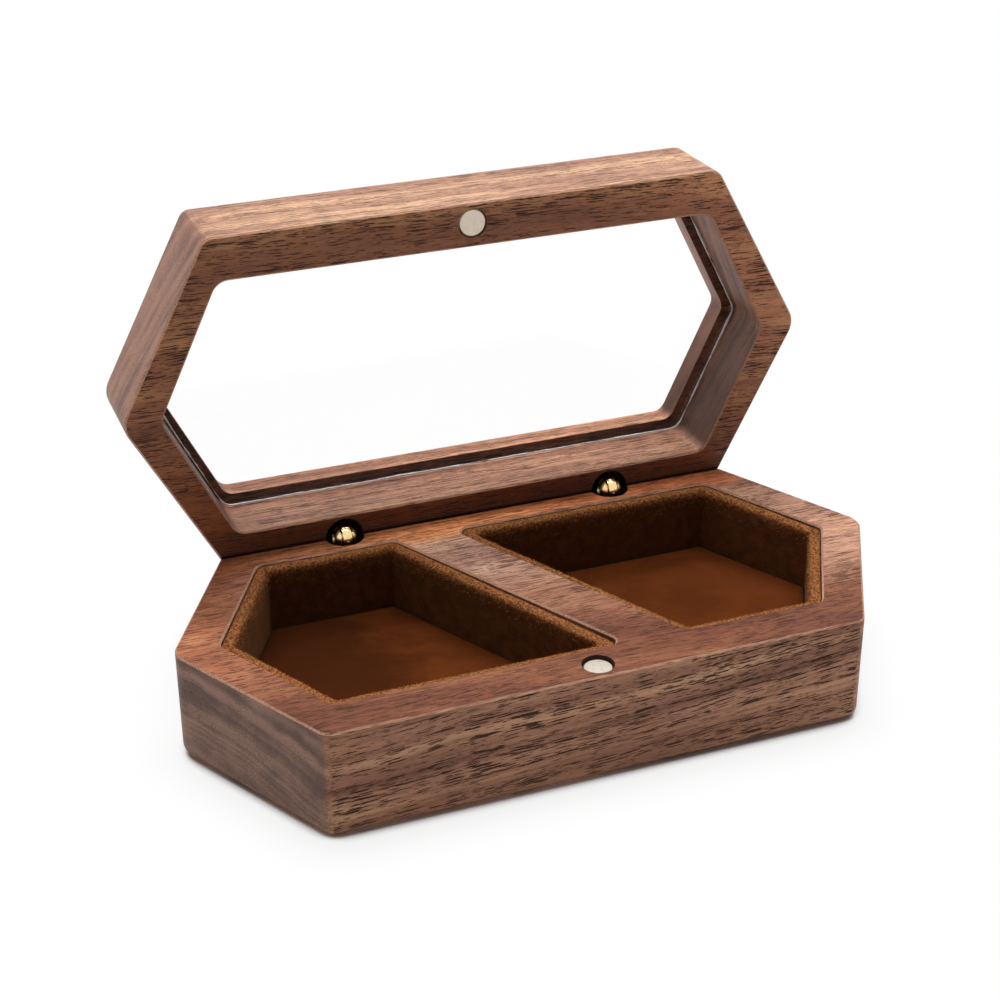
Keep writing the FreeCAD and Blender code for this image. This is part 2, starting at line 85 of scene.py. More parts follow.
class Shader:
    """One procedural material with a Principled surface."""

    def __init__(self, name):
        self.material = bpy.data.materials.new(name)
        self.material.use_nodes = True
        self.tree = self.material.node_tree
        self.tree.nodes.clear()
        self.surface = self.add("ShaderNodeBsdfPrincipled")
        self.output = self.add("ShaderNodeOutputMaterial", {
            "Surface": self.surface.outputs["BSDF"]})

    def add(self, kind, inputs=None, **settings):
        """A node with these settings; inputs are values or sockets to link."""
        made = self.tree.nodes.new(kind)
        for name, content in settings.items():
            setattr(made, name, content)
        for key, content in (inputs or {}).items():
            self.put(made, key, content)
        return made

    def put(self, made, key, content):
        """Set or link one input."""
        if isinstance(content, bpy.types.NodeSocket):
            self.tree.links.new(content, made.inputs[key])
        else:
            made.inputs[key].default_value = content

    def finish(self, **inputs):
        """Set or link inputs of the surface; an underscore in a name stands for a space."""
        for key, content in inputs.items():
            self.put(self.surface, key.replace("_", " "), content)
        return self.material

    def cover(self, share, shader):
        """Show another shader in place of the surface, by a share."""
        both = self.add("ShaderNodeMixShader", {
            0: share, 1: self.surface.outputs["BSDF"], 2: shader})
        self.tree.links.new(both.outputs["Shader"], self.output.inputs["Surface"])

    def place(self, scale=(1, 1, 1), turn=(0, 0, 0)):
        """Coordinates of the piece at rest in millimetres, turned in degrees and scaled."""
        source = self.add("ShaderNodeTexCoord").outputs["Object"]
        turned = self.add("ShaderNodeMapping", {
            "Vector": source,
            "Rotation": tuple(math.radians(angle) for angle in turn),
            "Scale": (PER_MM, PER_MM, PER_MM),
        }).outputs["Vector"]
        return self.stretch(turned, scale)

    def vector(self, operation, one, other):
        """A vector sum or product."""
        made = self.add("ShaderNodeVectorMath", {0: one, 1: other}, operation=operation)
        return made.outputs["Vector"]

    def stretch(self, vector, scale):
        """A vector scaled along each axis."""
        return self.vector("MULTIPLY", vector, scale)

    def folded(self, vector):
        """A vector without the signs of its parts."""
        made = self.add("ShaderNodeVectorMath", {0: vector}, operation="ABSOLUTE")
        return made.outputs["Vector"]

    def measure(self, operation, one, other=(0, 0, 0)):
        """A number from vectors, such as a length."""
        made = self.add("ShaderNodeVectorMath", {0: one, 1: other}, operation=operation)
        return made.outputs["Value"]

    def axes(self, vector):
        """The parts of a vector, by the names X, Y and Z."""
        return self.add("ShaderNodeSeparateXYZ", {0: vector}).outputs

    def maths(self, operation, one, other=0.0):
        """A number from one or two others."""
        made = self.add("ShaderNodeMath", {0: one, 1: other}, operation=operation)
        return made.outputs["Value"]

    def times(self, one, other):
        """The product of two numbers."""
        return self.maths("MULTIPLY", one, other)

    def most(self, one, other):
        """The larger of two numbers."""
        return self.maths("MAXIMUM", one, other)

    def weigh(self, *shares):
        """The sum of numbers, each times its weight."""
        total = None
        for number, weight in shares:
            part = self.times(number, weight)
            total = part if total is None else self.maths("ADD", total, part)
        return total

    def ramp(self, number, low, high, to_low=0.0, to_high=1.0, smooth=True):
        """The number mapped from one range to another, and kept in it."""
        made = self.add("ShaderNodeMapRange", {
            "Value": number, "From Min": low, "From Max": high, "To Min": to_low, "To Max": to_high,
        }, interpolation_type="SMOOTHSTEP" if smooth else "LINEAR")
        return made.outputs["Result"]

    def noise(self, vector, scale=1.0, detail=2.0, rough=0.5, distortion=0.0):
        """Noise over the vector, as a number."""
        made = self.add("ShaderNodeTexNoise", {
            "Vector": vector, "Scale": scale, "Detail": detail, "Roughness": rough,
            "Distortion": distortion})
        return made.outputs["Fac"]

    def bands(self, number, scale, detail, rough=0.5):
        """Noise along a number."""
        made = self.add("ShaderNodeTexNoise", {
            "W": number, "Scale": scale, "Detail": detail, "Roughness": rough,
        }, noise_dimensions="1D")
        return made.outputs["Fac"]

    def drift(self, vector):
        """Noise over the vector, as a vector."""
        made = self.add("ShaderNodeTexNoise", {"Vector": vector, "Scale": 1.0, "Detail": 2.0})
        return made.outputs["Color"]

    def mix(self, share, one, other, blend="MIX"):
        """Two colours mixed by a share."""
        made = self.add("ShaderNodeMix", data_type="RGBA", blend_type=blend)
        colours = [socket for socket in made.inputs if socket.type == "RGBA"]
        self.put(made, 0, share)
        for socket, content in zip(colours, (one, other)):
            if isinstance(content, bpy.types.NodeSocket):
                self.tree.links.new(content, socket)
            else:
                socket.default_value = (*content, 1)
        return [socket for socket in made.outputs if socket.type == "RGBA"][0]

    def tint(self, colour, by):
        """A colour multiplied by another."""
        return self.mix(1.0, colour, by, "MULTIPLY")

    def bump(self, height, depth, strength):
        """A bump of this depth in millimetres from a height between 0 and 1."""
        made = self.add("ShaderNodeBump", {
            "Height": height, "Distance": depth * MM, "Strength": strength})
        return made.outputs["Normal"]


# ---------------------------------------------------------------- walnut

WOOD_DARK = (0.175, 0.064, 0.033)
WOOD_MID = (0.370, 0.150, 0.076)
WOOD_LIGHT = (0.580, 0.285, 0.140)
WOOD_END_DARK = (0.140, 0.068, 0.047)
WOOD_END_LIGHT = (0.340, 0.168, 0.110)
WOOD_PORE = (0.019, 0.008, 0.005)
# Painted shade in the hinge and magnet holes
WOOD_HOLE_SHADE = (0.012, 0.005, 0.003)
# A painted highlight on the broken edges of the mating face
WOOD_EDGE_HIGHLIGHT = (0.660, 0.370, 0.250)
WOOD_LINE = (0.50, 0.42, 0.40)
# Painted shade along the hinge line
WOOD_CREASE_SHADE = (0.12, 0.09, 0.08)
PLAIN = (1.0, 1.0, 1.0)

# How far a seed moves the figure, in millimetres
SEED_STEP = (37.0, 11.0, 23.0)

# The figure along X, Y and Z: its stretch per millimetre, and its reach in millimetres
WANDER_STRETCH, WANDER_REACH = (0.020, 0.08, 0.08), (0.0, 4.0, 4.0)
PATCH_STRETCH = (0.03, 0.16, 0.16)
STREAK_STRETCH = (0.05, 1.7, 1.2)
FIBRE_STRETCH = (0.30, 6.0, 6.0)
LINE_STRETCH = (0.09, 4.0, 4.0)
GROUP_STRETCH = (0.06, 0.3, 0.3)
FRAY_STRETCH, FRAY_REACH = (0.9, 1.5, 1.5), (1.0, 0.24, 0.24)
BAND_SCALE, CROWD_SCALE = 0.26, 0.5
BAND_SHARE, PATCH_SHARE = 0.6, 0.4

# Pores of three lengths: stretch of a pore's cell, largest radius in it and strength
PORES = [((0.12, 2.3, 2.3), 0.60, 1.0),
         ((0.17, 2.9, 2.9), 0.58, 1.0),
         ((0.36, 4.0, 4.0), 0.54, 0.75)]
PORE_SMALLEST, PORE_EDGE = 0.12, (0.7, 1.0)
# PORE_GROWTH is their size where they are few and where they are many
PORE_CROWDED, PORE_GROWTH = (0.34, 0.62), (0.60, 1.10)
# Their strength, and what is left of it on faces that look up and, past PORE_FADE, on the ends
PORE_SHARE, PORE_ON_TOP, PORE_ON_END = 0.93, 0.75, 0.4
PORE_FADE = (0.08, 0.45)

# Levels of the figure between which a colour comes in, and how much of it comes
DARK_TO_MID, MID_TO_LIGHT = (0.34, 0.52), (0.49, 0.66)
STREAK_LEVELS, STREAK_SHARE = (0.46, 0.70), 0.55
FLECK_LEVELS = (0.50, 0.72)
SHADE_LEVELS, SHADE_SHARE = (0.48, 0.28), 0.45
LINE_LEVELS = (0.52, 0.64)
END_LEVELS = (0.38, 0.62)
# Where the painted highlight on the broken edges comes in, along the fibres
EDGE_HIGHLIGHT_LEVELS, EDGE_HIGHLIGHT_SHARE = (0.38, 0.62), (0.15, 0.8)
HOLE_RIM, HOLE_SHARE = (0.01, 0.08), 0.85

# How squarely a face looks along an axis
SQUARE, AT_END, AT_EDGE, LOOKS_AWAY = (0.85, 0.97), (0.45, 0.85), (0.35, 0.55), (0.35, 0.1)
IN_CREASE = (0.6, 0.9)
# Place along X in millimetres times the normal's X, far below 0 on walls that look inward
LOOKS_OUT = (-6.0, -2.0)

# Where the tints change over, in millimetres along X, Y or Z
X_LEFT, X_RIGHT = (-32.0, -50.0), (26.0, 46.0)
X_BACK_LEFT, X_LOW_RIGHT, X_RIGHT_SIDE = (4.0, -36.0), (-40.0, 40.0), (0.0, 45.0)
Y_FRONT, Y_MIDDLE, Y_BACK, Y_LEDGE = (-6.0, -20.0), (-4.0, 8.0), (17.0, 22.0), (34.0, 37.5)
Z_HIGH, Z_END_HIGH, Z_FOOT = (20.0, 48.0), (29.0, 54.0), (23.5, 19.5)

# The finish: roughness of the fibres and more in the pores, relief in millimetres
WOOD_ROUGH, PORE_ROUGH = (0.44, 0.54), 0.3
WOOD_RELIEF, WOOD_RELIEF_SHARE, STREAK_RELIEF = 0.08, 0.6, 0.25

# The two pieces of wood. pith: Y and Z of the tree's middle. tilt: turn of the grain in degrees.
# pale: added to the tone. gloss: specular level. fleck: share of the pale fibres.
# mating: the way the face between base and lid looks.
# across, hinge, magnet: an axis, and where the holes lie along it.
# deep, crease: an axis, and where the painted shade of the holes and of the hinge line begins and
# is full.
# The last rows are tints of the faces that look sideways, of the ends, and of those that look up;
# many of them are painted light, sheen and shade.
# Paler, greyer tints of the base's sides and ends: painted sheen, and painted light on the sides
BASE_SIDE_SHEEN, BASE_END_SHEEN = (1.12, 1.29, 1.51), (1.0, 1.13, 1.24)
BASE_WOOD = {
    "seed": 1.0, "pith": (15.0, -170.0), "tilt": (0.0, 2.5, 0.0), "pale": 0.0, "gloss": 0.16,
    "pore_scale": (1.3, 1.3, 1.3), "pore_size": 0.90, "fleck": 0.22,
    "mating": (0.0, 0.0, 1.0), "across": "Y", "hinge": HINGE_Y, "magnet": MAGNET_Y,
    "deep": ("Z", 13.0, 14.0), "crease": ("Y", 25.6, 26.1),
    "side": BASE_SIDE_SHEEN, "low": BASE_SIDE_SHEEN, "outer": BASE_SIDE_SHEEN,
    "right_side": PLAIN, "foot": PLAIN, "ledge": PLAIN,
    "end": BASE_END_SHEEN, "low_end": BASE_END_SHEEN,
    # On top: the front half darker, the front rail darker and redder still, the left end lighter;
    # the back half and the right end paler and greyer, painted sheen; the back rail lighter and
    # warmer, painted light, less at its left end
    "top": (0.74, 0.68, 0.74), "middle": (1.18, 1.42, 1.92), "front": (0.59, 0.46, 0.41),
    "left": (1.22, 1.10, 1.03), "right": (1.95, 2.55, 3.20),
    "back": (1.80, 1.40, 1.01), "back_left": (0.98, 0.75, 0.54),
    "low_top": PLAIN, "low_right": PLAIN,
}
# The tint of the lid's faces that look up: a paler tone with painted sheen
LID_TOP_SHEEN = (1.28, 1.54, 1.82)
LID_WOOD = {
    "seed": 2.0, "pith": (-150.0, 10.0), "tilt": (0.0, -1.5, 0.0), "pale": 0.05, "gloss": 0.34,
    "pore_scale": (1.3, 1.45, 1.45), "pore_size": 0.92, "fleck": 0.27,
    "mating": (0.0, -1.0, 0.0), "across": "Z", "hinge": LID_HINGE_Z, "magnet": None,
    "deep": ("Y", 32.0, 31.0), "crease": ("Z", 19.6, 19.0),
    # Painted light and shade by place: on the mating face painted shade low down and at the foot by
    # the hinges, and painted light at its right; painted shade on the ledge behind the pane;
    # painted light on the outer ends and high up, and painted shade on the inner ends low down;
    # painted shade on the lower faces that look up, less at the right
    "side": (0.87, 0.77, 0.66), "low": (0.62, 0.39, 0.22), "outer": (0.78, 0.80, 0.88),
    "right_side": (1.40, 1.40, 1.42), "foot": (0.48, 0.42, 0.33), "ledge": (0.26, 0.21, 0.18),
    "end": (1.18, 1.16, 1.15), "low_end": (0.34, 0.25, 0.17),
    **dict.fromkeys(("top", "middle", "front", "left", "right", "back", "back_left"), LID_TOP_SHEEN),
    "low_top": (0.70, 0.57, 0.53), "low_right": (0.98, 0.83, 0.77),
}


class Walnut(Shader):
    """Oiled walnut: growth bands round a far pith, fibres and open pores that run along X."""

    def __init__(self, name, wood):
        super().__init__(name)
        self.wood = wood
        shift = tuple(wood["seed"] * step for step in SEED_STEP)
        plain = self.vector("ADD", self.place(turn=wood["tilt"]), shift)
        wander = self.drift(self.stretch(plain, WANDER_STRETCH))
        sway = self.vector("SUBTRACT", wander, (0.5, 0.5, 0.5))
        self.grain = self.vector("ADD", plain, self.stretch(sway, WANDER_REACH))
        middle = tuple(p + d for p, d in zip((0, *wood["pith"]), shift))
        from_pith = self.stretch(self.vector("SUBTRACT", self.grain, middle), (0.0, 1.0, 1.0))
        self.radius = self.measure("LENGTH", from_pith)

        # Places on the grain and on the piece, and the way a face looks
        self.at = self.axes(self.vector("SUBTRACT", self.grain, shift))
        self.spot = self.axes(self.place())
        normal = self.add("ShaderNodeTexCoord").outputs["Normal"]
        self.facing = self.measure("DOT_PRODUCT", normal, wood["mating"])
        self.normal = self.axes(normal)
        self.sideways = self.maths("ABSOLUTE", self.normal["X"])
        self.upward = self.ramp(self.normal["Z"], *SQUARE)
        self.mating = self.ramp(self.facing, *SQUARE)
        self.high = self.ramp(self.at["Z"], *Z_HIGH)

        # The figure: growth bands and soft patches, then fibres of two sizes, then pores
        patch = self.noise(self.stretch(self.grain, PATCH_STRETCH), detail=3.0, rough=0.55)
        rings = self.bands(self.radius, BAND_SCALE, detail=4.0, rough=0.6)
        growth = self.weigh((rings, BAND_SHARE), (patch, PATCH_SHARE))
        self.tone = self.maths("ADD", growth, wood["pale"])
        self.streak = self.noise(self.stretch(self.grain, STREAK_STRETCH), detail=4.0, rough=0.62)
        self.fibre = self.noise(self.stretch(self.grain, FIBRE_STRETCH), rough=0.6)
        self.pores = self.open_pores()

    def tinted(self, colour, share, key):
        """The colour with one of the wood's tints on it, by a share."""
        return self.tint(colour, self.mix(share, PLAIN, self.wood[key]))

    def open_pores(self):
        """Slender hollows with ragged sides, crowded in some bands, fainter on top and ends."""
        group = self.noise(self.stretch(self.grain, GROUP_STRETCH))
        rings = self.bands(self.radius, CROWD_SCALE, detail=1.0)
        crowd = self.weigh((rings, 0.5), (group, 0.5))
        few, many = (growth * self.wood["pore_size"] for growth in PORE_GROWTH)
        crowd = self.ramp(crowd, *PORE_CROWDED, few, many, smooth=False)
        fray = self.stretch(self.drift(self.stretch(self.grain, FRAY_STRETCH)), FRAY_REACH)
        frayed = self.stretch(self.vector("ADD", self.grain, fray), self.wood["pore_scale"])
        pores = None
        for stretch, largest, strength in PORES:
            layer = self.times(self.pore_layer(frayed, stretch, largest, crowd), strength)
            pores = layer if pores is None else self.most(pores, layer)
        pores = self.times(pores, self.ramp(self.sideways, *PORE_FADE, 1.0, PORE_ON_END))
        on_top = self.ramp(self.upward, 0.0, 1.0, 1.0, PORE_ON_TOP, smooth=False)
        return self.times(pores, on_top)

    def pore_layer(self, grain, stretch, largest, crowd):
        """Spindle-shaped pores, one to a cell of the stretched space, of many sizes."""
        cells = self.add("ShaderNodeTexVoronoi", {
            "Vector": self.stretch(grain, stretch), "Scale": 1.0}).outputs
        chance = self.add("ShaderNodeSeparateColor", {0: cells["Color"]}).outputs[0]
        size = self.ramp(chance, 0.0, 1.0, PORE_SMALLEST, largest, smooth=False)
        away = self.maths("DIVIDE", cells["Distance"], self.times(size, crowd))
        return self.ramp(away, *PORE_EDGE, 1.0, 0.0)

    def figure(self):
        """The colour of the bands and fibres."""
        streaks = self.ramp(self.streak, *STREAK_LEVELS, 0.0, STREAK_SHARE)
        flecks = self.ramp(self.fibre, *FLECK_LEVELS, 0.0, self.wood["fleck"])
        shades = self.ramp(self.fibre, *SHADE_LEVELS, 0.0, SHADE_SHARE)
        colour = self.mix(self.ramp(self.tone, *DARK_TO_MID), WOOD_DARK, WOOD_MID)
        colour = self.mix(self.ramp(self.tone, *MID_TO_LIGHT), colour, WOOD_LIGHT)
        colour = self.mix(streaks, colour, WOOD_DARK)
        colour = self.mix(flecks, colour, WOOD_LIGHT)
        return self.mix(shades, colour, WOOD_DARK)

    def end_grain(self):
        """The slanted ends are greyer, with painted sheen on the base's; the lid's outer ends and
        upper parts have painted light, and its inner ones painted shade lower down.
        """
        colour = self.mix(self.ramp(self.tone, *END_LEVELS), WOOD_END_DARK, WOOD_END_LIGHT)
        outward = self.ramp(self.times(self.normal["X"], self.at["X"]), *LOOKS_OUT)
        high = self.most(self.ramp(self.at["Z"], *Z_END_HIGH), outward)
        return self.tint(colour, self.mix(high, self.wood["low_end"], self.wood["end"]))

    def top_tint(self):
        """Faces that look up get tints by place, many of them painted light, sheen and shade, and
        have darker lines.
        """
        wood, at = self.wood, self.at
        tint = self.mix(self.ramp(at["Y"], *Y_MIDDLE), wood["top"], wood["middle"])
        tint = self.mix(self.ramp(at["X"], *X_LEFT), tint, wood["left"])
        tint = self.mix(self.ramp(at["X"], *X_RIGHT), tint, wood["right"])
        tint = self.mix(self.ramp(at["Y"], *Y_FRONT), tint, wood["front"])
        back = self.mix(self.ramp(at["X"], *X_BACK_LEFT), wood["back"], wood["back_left"])
        tint = self.mix(self.ramp(at["Y"], *Y_BACK), tint, back)
        low = self.mix(self.ramp(at["X"], *X_LOW_RIGHT), wood["low_top"], wood["low_right"])
        tint = self.tint(tint, self.mix(self.high, low, PLAIN))
        lines = self.noise(self.stretch(self.grain, LINE_STRETCH), detail=3.0, rough=0.65)
        return self.tint(tint, self.mix(self.ramp(lines, *LINE_LEVELS), PLAIN, WOOD_LINE))

    def side_tint(self):
        """The lid's mating face gets painted shade towards the hinges and painted light at its
        right; faces that look away from it don't darken, and get a tint of their own, painted sheen
        on the base's sides.
        """
        tint = self.mix(self.high, self.wood["low"], self.wood["side"])
        to_right = self.ramp(self.at["X"], *X_RIGHT_SIDE)
        to_right = self.times(self.times(self.mating, self.high), to_right)
        tint = self.tinted(tint, to_right, "right_side")
        tint = self.tinted(tint, self.ramp(self.at["Z"], *Z_FOOT), "foot")
        return self.mix(self.ramp(self.facing, *LOOKS_AWAY), tint, self.wood["outer"])

    def in_holes(self):
        """Where the walls and floors of the hinge and magnet holes are, for their painted shade."""
        from_hinge = self.maths("SUBTRACT", self.maths("ABSOLUTE", self.spot["X"]), HINGE_X)
        holes = [(from_hinge, self.wood["hinge"], MOUTH_RADIUS)]
        if self.wood["magnet"]:
            holes.append((self.spot["X"], self.wood["magnet"], MAGNET_RADIUS))
        found = None
        for along, centre, radius in holes:
            across = self.maths("SUBTRACT", self.spot[self.wood["across"]], centre)
            squares = self.maths("ADD", self.times(along, along), self.times(across, across))
            gap = self.maths("SQRT", squares)
            inside = self.ramp(gap, *(radius + rim for rim in HOLE_RIM), 1.0, 0.0)
            found = inside if found is None else self.most(found, inside)
        axis, start, full = self.wood["deep"]
        return self.times(found, self.ramp(self.spot[axis], start, full))

    def in_crease(self):
        """Where painted shade lies along the hinge line."""
        axis, start, full = self.wood["crease"]
        near = self.ramp(self.spot[axis], start, full)
        return self.times(near, self.ramp(self.facing, *IN_CREASE))

    def edge_highlight(self):
        """Where the broken edges of the mating face get a pale painted highlight."""
        aslant = self.ramp(self.facing, *SQUARE, 1.0, 0.0)
        broken = self.times(self.ramp(self.facing, *AT_EDGE), aslant)
        return self.times(broken, self.ramp(self.fibre, *EDGE_HIGHLIGHT_LEVELS, *EDGE_HIGHLIGHT_SHARE))

    def oiled(self):
        """The finished material."""
        # Tints by place, many of them painted light, sheen and shade
        tint = self.mix(self.upward, self.side_tint(), self.top_tint())
        colour = self.tint(self.figure(), tint)
        colour = self.mix(self.ramp(self.sideways, *AT_END), colour, self.end_grain())
        # Painted shade on the ledge behind the pane
        on_ledge = self.times(self.mating, self.ramp(self.at["Y"], *Y_LEDGE))
        colour = self.tinted(colour, on_ledge, "ledge")
        colour = self.mix(self.times(self.pores, PORE_SHARE), colour, WOOD_PORE)
        # A painted highlight on the broken edges
        colour = self.mix(self.edge_highlight(), colour, WOOD_EDGE_HIGHLIGHT)
        # Painted shade in the holes, and along the hinge line
        colour = self.mix(self.times(self.in_holes(), HOLE_SHARE), colour, WOOD_HOLE_SHADE)
        colour = self.tint(colour, self.mix(self.in_crease(), PLAIN, WOOD_CREASE_SHADE))
        rough = self.ramp(self.fibre, *NOISE_SPAN, *WOOD_ROUGH)
        rough = self.maths("ADD", rough, self.times(self.pores, PORE_ROUGH))
        height = self.maths("SUBTRACT", self.times(self.streak, STREAK_RELIEF), self.pores)
        relief = self.bump(height, WOOD_RELIEF, WOOD_RELIEF_SHARE)
        return self.finish(Base_Color=colour, Roughness=rough, Normal=relief,
                           Specular_IOR_Level=self.wood["gloss"])


# ---------------------------------------------------------------- other materials

# Felt: its crown is where the painted light on its top edge begins and is full, in millimetres
# along Z
FELT_DARK, FELT_LIGHT = (0.104, 0.040, 0.0125), (0.210, 0.082, 0.026)
FELT_LIT_EDGE, FELT_LIT_CROWN = (0.47, 0.178, 0.058), (16.9, 18.2)
FELT_LEVELS, FELT_LIT_EDGE_LEVELS = (0.36, 0.66), (0.40, 0.60)
FELT_SHEEN_TINT = (0.90, 0.45, 0.18, 1)
# The nap's colours: a lighter copy of the felt, painted light on the fibres of the crown
NAP_DARK, NAP_LIGHT = (0.50, 0.185, 0.055), (0.80, 0.340, 0.110)

# Suede: turn of its strokes in degrees, and where along X its painted shadow lies, in millimetres
SUEDE_TURN = (0, 0, 20)
SUEDE_PATCH_STRETCH, SUEDE_STROKE_STRETCH = (0.10, 0.16, 0.1), (0.5, 2.6, 1.0)
SUEDE_DARK, SUEDE_LIGHT = (0.102, 0.0235, 0.005), (0.142, 0.0345, 0.0074)
SUEDE_PAINTED_SHADOW, SUEDE_LEVELS = (0.048, 0.0112, 0.0025), (0.38, 0.62)
SUEDE_SHADOW_X, SUEDE_SHADOW_WANDER, SUEDE_SHADOW_SHARE = (2.0, -16.0), 30.0, 0.8
SUEDE_SHEEN_TINT = (0.9, 0.40, 0.12, 1)

# Metal: levels and share of its spots, and how its roughness varies
SPOT_LEVELS, SPOT_SHARE, POLISH = (0.45, 0.75), 0.6, (0.75, 1.25)
# Brass is bright on the hinge's ball and darkened beyond it by painted shade: radii from the pivot
# in millimetres
PIVOT = (HINGE_X, HINGE_Y, PIVOT_Z)
BALL_EDGE = (2.15, 2.6)
BRASS_HOLE_SHADE = (0.030, 0.017, 0.007)

CARD_DARK, CARD_LIGHT = (0.30, 0.25, 0.19), (0.44, 0.39, 0.31)
CARD_STRETCH, CARD_LEVELS = (0.6, 3.0, 3.0), (0.35, 0.7)
PANE_THROUGH, PANE_IOR, PANE_ROUGH = (0.96, 0.97, 0.97, 1), 1.2, (0.0, 0.012)
# The clear glue's whitish colour is a painted highlight along the thread
GLUE_DARK, GLUE_LIGHT = (0.72, 0.71, 0.69), (0.97, 0.97, 0.96)
GLUE_LEVELS, GLUE_IOR, GLUE_ROUGH = (0.4, 0.65), 1.48, (0.05, 0.2)


def felt(name, dark, light):
    """Short-napped felt, with painted light on its top edge."""
    s = Shader(name)
    place = s.place()
    cloud = s.noise(place, scale=0.5, detail=3.0, rough=0.6)
    fuzz = s.noise(place, scale=5.0, detail=3.0, rough=0.7)
    grit = s.noise(place, scale=2.6, detail=3.0, rough=0.7)
    share = s.weigh((cloud, 0.45), (fuzz, 0.55))
    colour = s.mix(s.ramp(share, *FELT_LEVELS), dark, light)
    # Painted light on the top edge
    edge = s.mix(s.ramp(grit, *FELT_LIT_EDGE_LEVELS), dark, FELT_LIT_EDGE)
    colour = s.mix(s.ramp(s.axes(place)["Z"], *FELT_LIT_CROWN), colour, edge)
    relief = s.bump(s.weigh((fuzz, 0.5), (grit, 0.5)), depth=0.3, strength=0.9)
    return s.finish(Base_Color=colour, Roughness=0.95, Specular_IOR_Level=0.1, Normal=relief,
                    Sheen_Weight=0.2, Sheen_Roughness=0.45, Sheen_Tint=FELT_SHEEN_TINT)


def suede(name):
    """Brushed suede: a nap in soft patches, with a painted shadow over much of the left pocket."""
    s = Shader(name)
    place = s.place(turn=SUEDE_TURN)
    patches = s.noise(s.stretch(place, SUEDE_PATCH_STRETCH), detail=4.0, rough=0.6, distortion=0.6)
    strokes = s.noise(s.stretch(place, SUEDE_STROKE_STRETCH), detail=3.0, rough=0.6)
    nap = s.noise(place, scale=8.0, rough=0.7)
    share = s.weigh((patches, 0.6), (strokes, 0.25), (nap, 0.15))
    colour = s.mix(s.ramp(share, *SUEDE_LEVELS), SUEDE_DARK, SUEDE_LIGHT)
    along = s.weigh((s.axes(s.place())["X"], 1.0), (share, SUEDE_SHADOW_WANDER))
    # A painted shadow over much of the left pocket
    shadowed = s.ramp(along, *SUEDE_SHADOW_X, 0.0, SUEDE_SHADOW_SHARE)
    colour = s.mix(shadowed, colour, SUEDE_PAINTED_SHADOW)
    relief = s.bump(nap, depth=0.1, strength=0.7)
    return s.finish(Base_Color=colour, Roughness=0.95, Specular_IOR_Level=0.05, Normal=relief,
                    Sheen_Weight=0.12, Sheen_Roughness=0.5, Sheen_Tint=SUEDE_SHEEN_TINT)


def metal(name, tint, worn, rough, grain, depth, hole_shade=0.0):
    """Metal with fine tool marks and faint spots; painted shade darkens it down in the hinge holes.
    """
    s = Shader(name)
    marks = s.noise(s.place(grain), detail=3.0, rough=0.6)
    spots = s.noise(s.place(), scale=1.6, detail=4.0, rough=0.65)
    colour = s.mix(s.ramp(spots, *SPOT_LEVELS, 0.0, SPOT_SHARE), tint, worn)
    if hole_shade:
        # Painted shade down in the hinge hole
        gap = s.measure("DISTANCE", s.folded(s.place()), PIVOT)
        colour = s.mix(s.ramp(gap, *BALL_EDGE, 0.0, hole_shade), colour, BRASS_HOLE_SHADE)
    polish = s.ramp(marks, *NOISE_SPAN, *(rough * share for share in POLISH))
    relief = s.bump(marks, depth, strength=0.5)
    return s.finish(Base_Color=colour, Metallic=1.0, Roughness=polish, Normal=relief)


def card(name):
    """Grey board with flecks of fibre."""
    s = Shader(name)
    flecks = s.noise(s.place(CARD_STRETCH), detail=4.0, rough=0.7)
    colour = s.mix(s.ramp(flecks, *CARD_LEVELS), CARD_DARK, CARD_LIGHT)
    relief = s.bump(flecks, depth=0.05, strength=0.6)
    return s.finish(Base_Color=colour, Roughness=0.9, Normal=relief)


def clear_pane(name):
    """A clear sheet whose roughness varies faintly, which lets lamps through."""
    s = Shader(name)
    rough = s.ramp(s.noise(s.place(), scale=0.05, detail=1.0), *NOISE_SPAN, *PANE_ROUGH)
    s.finish(Base_Color=WHITE, Roughness=rough, IOR=PANE_IOR, Transmission_Weight=1.0)
    through = s.add("ShaderNodeBsdfTransparent", {"Color": PANE_THROUGH}).outputs["BSDF"]
    s.cover(s.add("ShaderNodeLightPath").outputs["Is Shadow Ray"], through)
    return s.material


def glue(name):
    """A thread of clear glue with a wet skin and tiny bubbles, coloured whitish as a painted
    highlight.
    """
    s = Shader(name)
    bubbles = s.noise(s.place(), scale=4.0, rough=0.6)
    colour = s.mix(s.ramp(bubbles, *GLUE_LEVELS), GLUE_DARK, GLUE_LIGHT)
    rough = s.ramp(bubbles, *NOISE_SPAN, *GLUE_ROUGH)
    relief = s.bump(bubbles, depth=0.05, strength=0.5)
    return s.finish(Base_Color=colour, Roughness=rough, IOR=GLUE_IOR, Normal=relief,
                    Transmission_Weight=0.35, Coat_Weight=1.0, Coat_Roughness=0.06)


